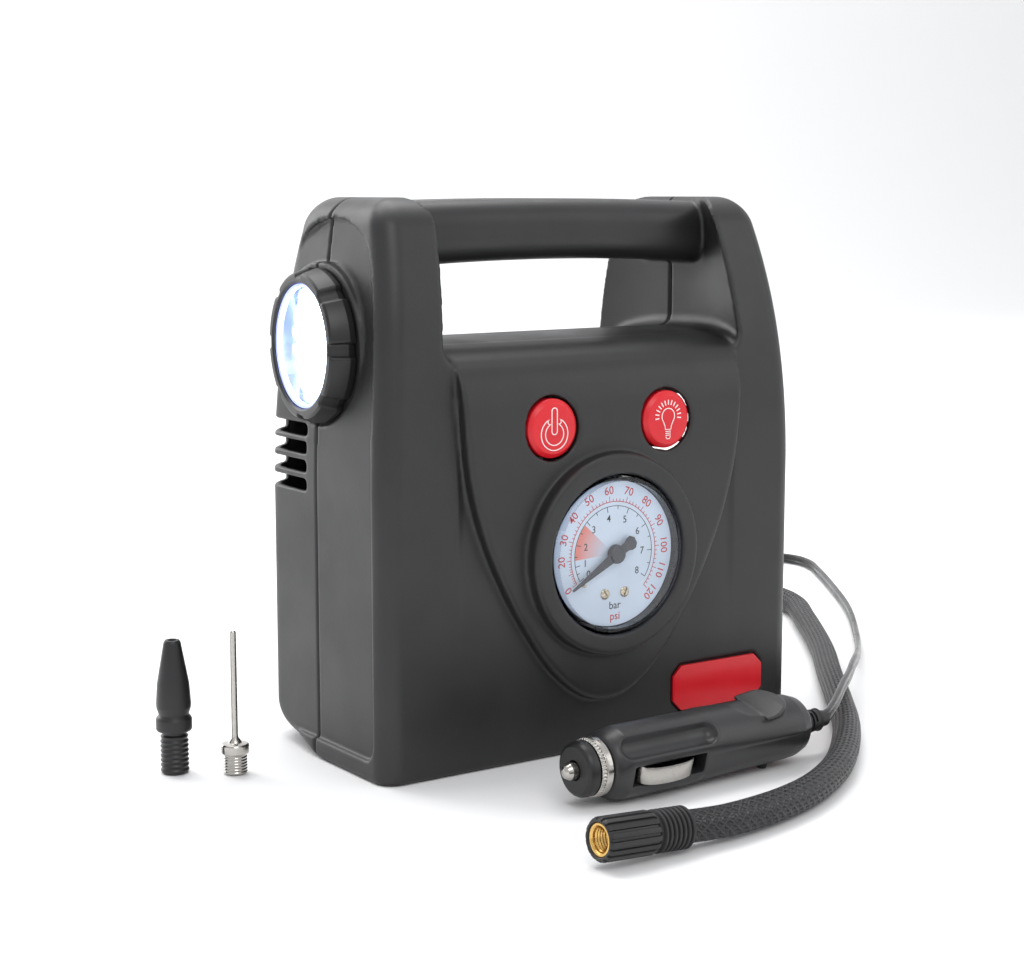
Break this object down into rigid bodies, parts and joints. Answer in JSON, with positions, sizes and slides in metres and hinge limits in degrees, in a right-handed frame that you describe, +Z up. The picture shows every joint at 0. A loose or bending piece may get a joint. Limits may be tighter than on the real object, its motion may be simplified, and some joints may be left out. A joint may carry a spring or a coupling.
{
  "type": "portable tyre inflator",
  "caption": "Upright 12 V tyre inflator with carry handle, round pressure gauge, side lamp, braided hose, vehicle plug and loose adapters.",
  "frame": {"origin": "on the flat underside of the housing, midway between its sides and under the line where the two shells meet", "axes": "+Z up, the gauge and buttons face -Y, the side lamp faces -X"},
  "size_m": [0.457, 0.37, 0.2],
  "materials": {
    "housing_plastic": "satin",
    "black_plastic": "satin",
    "rubber": "matte",
    "lead_sheath": "satin",
    "hose_braid": "woven",
    "red_plastic": "satin",
    "clear_plastic": "gloss",
    "lamp_lens": "gloss",
    "led_light": "gloss",
    "bright_metal": "polished",
    "dial_white": "satin",
    "nickel": "bright",
    "brass": "machined",
    "steel": "satin",
    "cast_metal": "cast",
    "wire_red": "satin"
  },
  "bodies": {
    "housing": {"front_shell": "housing_plastic", "rear_shell": "housing_plastic", "badge_plate": "red_plastic", "power_switch": "black_plastic", "light_switch": "black_plastic", "gauge_lens": "clear_plastic", "gauge_case": "steel", "gauge_dial": "dial_white", "gauge_stem": "brass", "bourdon_tube": "brass", "gauge_movement": "brass", "lamp_bezel": "black_plastic", "lamp_lens": "lamp_lens", "lamp_reflector": "bright_metal", "led_board": "led_light", "motor_can": "steel", "motor_end_cap": "black_plastic", "crank_axle": "steel", "gear_frame": "steel", "pump_cylinder": "cast_metal", "cylinder_head": "cast_metal", "outlet_air_line": "rubber", "gauge_air_line": "rubber", "motor_wire": "wire_red", "lamp_wire": "wire_red", "supply_wire": "lead_sheath", "hose_gland": "black_plastic", "lead_grommet": "rubber", "air_hose": "hose_braid", "hose_boot": "rubber", "plug_body": "black_plastic", "plug_ring": "nickel", "plug_nose_cap": "black_plastic", "plug_fuse": "clear_plastic", "fuse_spring": "steel", "plug_strain_relief": "rubber", "lead_to_coil": "lead_sheath", "lead_coil": "lead_sheath", "power_lead": "lead_sheath", "case_screw_1": "steel", "case_screw_2": "steel", "case_screw_3": "steel", "case_screw_4": "steel", "case_screw_5": "steel", "case_screw_6": "steel"},
    "power_button": {"power_button": "red_plastic"},
    "light_button": {"light_button": "red_plastic"},
    "gauge_needle": {"gauge_needle": "black_plastic"},
    "motor_pinion": {"motor_pinion": "brass"},
    "crank_gear": {"crank_gear": "steel"},
    "piston_rod": {"piston_rod": "cast_metal"},
    "plug_tip": {"plug_tip": "nickel"},
    "plug_contact_front": {"plug_contact_front": "nickel"},
    "plug_contact_rear": {"plug_contact_rear": "nickel"},
    "hose_chuck": {"chuck_collar": "black_plastic", "chuck_insert": "brass"},
    "nozzle_adapter": {"nozzle_adapter": "black_plastic"},
    "ball_needle": {"ball_needle": "nickel"}
  },
  "joints": [
    {"name": "power_button_press", "type": "slide", "parent": "housing", "child": "power_button", "axis": [0, 1, 0], "range_m": [0, 0.0025], "stiffness_N_per_m": 400},
    {"name": "light_button_press", "type": "slide", "parent": "housing", "child": "light_button", "axis": [0, 1, 0], "range_m": [0, 0.0025], "stiffness_N_per_m": 400},
    {"name": "gauge_needle_turn", "type": "hinge", "parent": "housing", "child": "gauge_needle", "pos_m": [0, -0.0579, 0.0734], "axis": [0, 1, 0], "range_deg": [0, 253], "stiffness_Nm_per_rad": 0.0004},
    {"name": "crank_spin", "type": "hinge", "parent": "housing", "child": "crank_gear", "pos_m": [0, 0.016, 0.0533], "axis": [1, 0, 0], "continuous": true},
    {"name": "pinion_spin", "type": "hinge", "parent": "housing", "child": "motor_pinion", "pos_m": [0, 0.016, 0.026], "axis": [1, 0, 0], "continuous": true},
    {"name": "piston_stroke", "type": "slide", "parent": "housing", "child": "piston_rod", "axis": [0, 0, 1], "range_m": [-0.014, 0]},
    {"name": "plug_tip_press", "type": "slide", "parent": "housing", "child": "plug_tip", "axis": [0.9998, 0.0209, 0], "range_m": [0, 0.003], "stiffness_N_per_m": 700},
    {"name": "front_contact_press", "type": "slide", "parent": "housing", "child": "plug_contact_front", "axis": [-0.0203, 0.9701, 0.2419], "range_m": [0, 0.0012], "stiffness_N_per_m": 1500},
    {"name": "rear_contact_press", "type": "slide", "parent": "housing", "child": "plug_contact_rear", "axis": [0.0203, -0.9701, -0.2419], "range_m": [0, 0.0012], "stiffness_N_per_m": 1500},
    {"name": "chuck_turn", "type": "hinge", "parent": "housing", "child": "hose_chuck", "pos_m": [-0.048, -0.1554, 0.0073], "axis": [-0.9981, 0, 0.0611], "continuous": true},
    {"name": "nozzle_lift", "type": "slide", "parent": "housing", "child": "nozzle_adapter", "axis": [0, 0, 1], "range_m": [0, 0.06]},
    {"name": "needle_lift", "type": "slide", "parent": "housing", "child": "ball_needle", "axis": [0, 0, 1], "range_m": [0, 0.06]}
  ],
  "couplings": [
    {"joint": "pinion_spin", "follows": "crank_spin", "ratio": -3.2}
  ]
}
